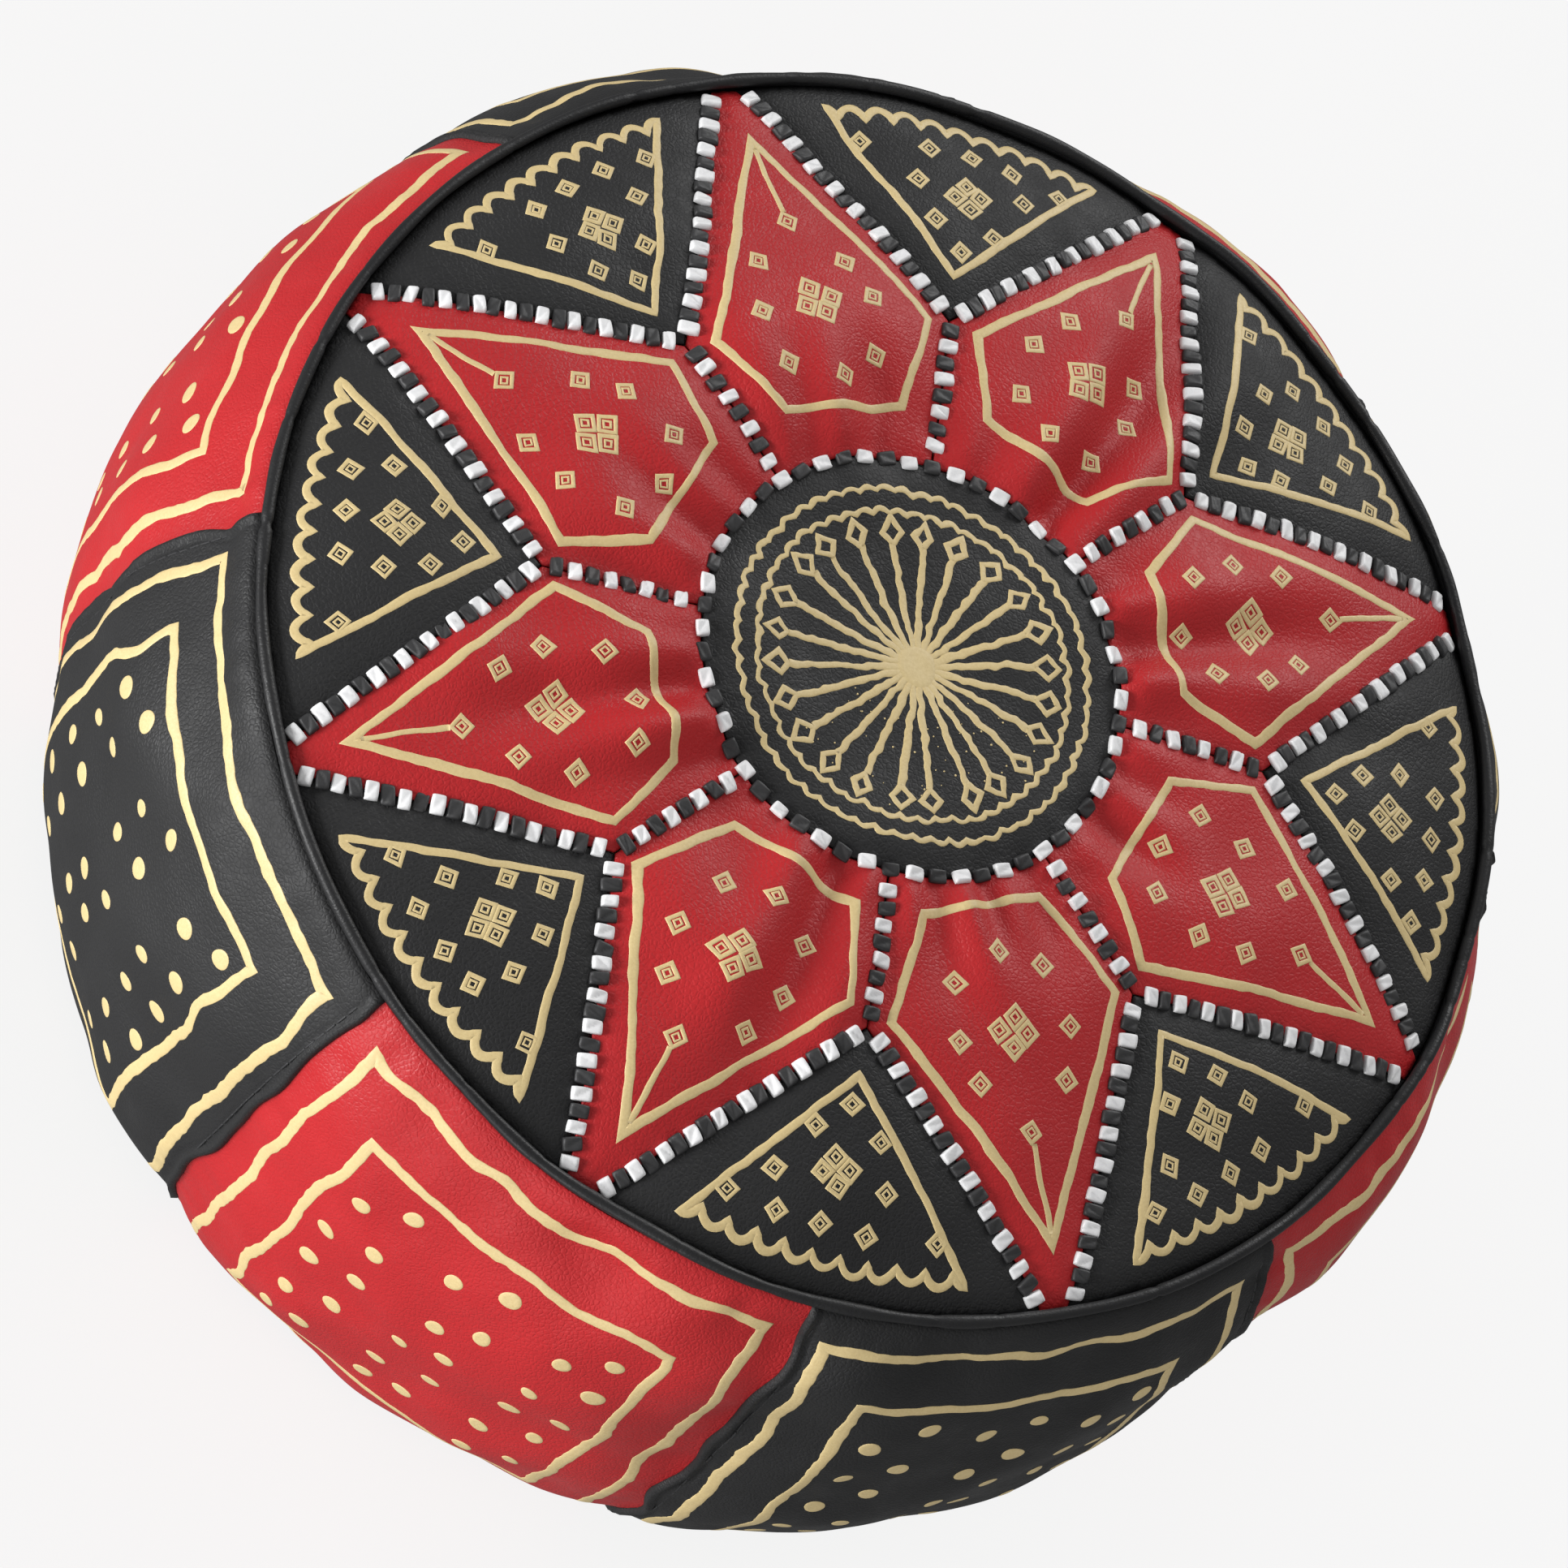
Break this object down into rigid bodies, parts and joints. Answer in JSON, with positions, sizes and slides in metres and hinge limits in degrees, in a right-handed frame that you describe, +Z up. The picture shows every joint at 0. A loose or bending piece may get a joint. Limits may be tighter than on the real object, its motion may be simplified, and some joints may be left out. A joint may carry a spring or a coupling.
{
  "type": "moroccan leather pouf",
  "caption": "Round stuffed leather pouf with a laced star top, red and black side panels, gilt patterns and a zipped base.",
  "frame": {"origin": "centre of the base, on the floor", "axes": "+Z up; petal 1 and side panel 1 along +X; the zip runs along X and closes towards +X"},
  "size_m": [0.5608, 0.5608, 0.2578],
  "materials": {
    "leather_red": "satin",
    "leather_black": "satin",
    "lace_white": "satin",
    "lace_black": "satin",
    "cord": "matte",
    "tape": "matte",
    "thread": "matte",
    "cotton": "matte",
    "zip_metal": "satin",
    "gilt": "satin"
  },
  "bodies": {
    "cover": {"centre_medallion": "leather_black", "star_petal_1": "leather_red", "star_petal_2": "leather_red", "star_petal_3": "leather_red", "star_petal_4": "leather_red", "star_petal_5": "leather_red", "star_petal_6": "leather_red", "star_petal_7": "leather_red", "star_petal_8": "leather_red", "rim_triangle_1": "leather_black", "rim_triangle_2": "leather_black", "rim_triangle_3": "leather_black", "rim_triangle_4": "leather_black", "rim_triangle_5": "leather_black", "rim_triangle_6": "leather_black", "rim_triangle_7": "leather_black", "rim_triangle_8": "leather_black", "side_panel_1": "leather_red", "side_panel_2": "leather_black", "side_panel_3": "leather_red", "side_panel_4": "leather_black", "side_panel_5": "leather_red", "side_panel_6": "leather_black", "side_panel_7": "leather_red", "side_panel_8": "leather_black", "top_piping_cover": "leather_black", "top_piping_cord": "cord", "base_piping_cover": "leather_black", "base_piping_cord": "cord", "base_panel_rear": "leather_black", "base_panel_front": "leather_black", "zip_tape_rear": "tape", "zip_tape_front": "tape", "zip_teeth_rear": "zip_metal", "zip_teeth_front": "zip_metal", "zip_stops": "zip_metal", "star_lacing_white": "lace_white", "star_lacing_black": "lace_black", "petal_lacing_white": "lace_white", "petal_lacing_black": "lace_black", "centre_lacing_white": "lace_white", "centre_lacing_black": "lace_black", "side_seam_thread": "thread", "zip_seam_thread": "thread", "liner_top": "cotton", "liner_wall": "cotton", "liner_base": "cotton", "cotton_stuffing": "cotton"},
    "zip_slider": {"zip_slider": "zip_metal"},
    "zip_pull": {"zip_pull_tab": "zip_metal"}
  },
  "joints": [
    {"name": "zip_slide", "type": "slide", "parent": "cover", "child": "zip_slider", "axis": [-1, 0, 0], "range_m": [0, 0.272], "deforming": ["zip_teeth_rear", "zip_teeth_front"]},
    {"name": "pull_hinge", "type": "hinge", "parent": "zip_slider", "child": "zip_pull", "pos_m": [0.134, 0, 0.0067], "axis": [0, -1, 0], "range_deg": [-9, 150]}
  ]
}
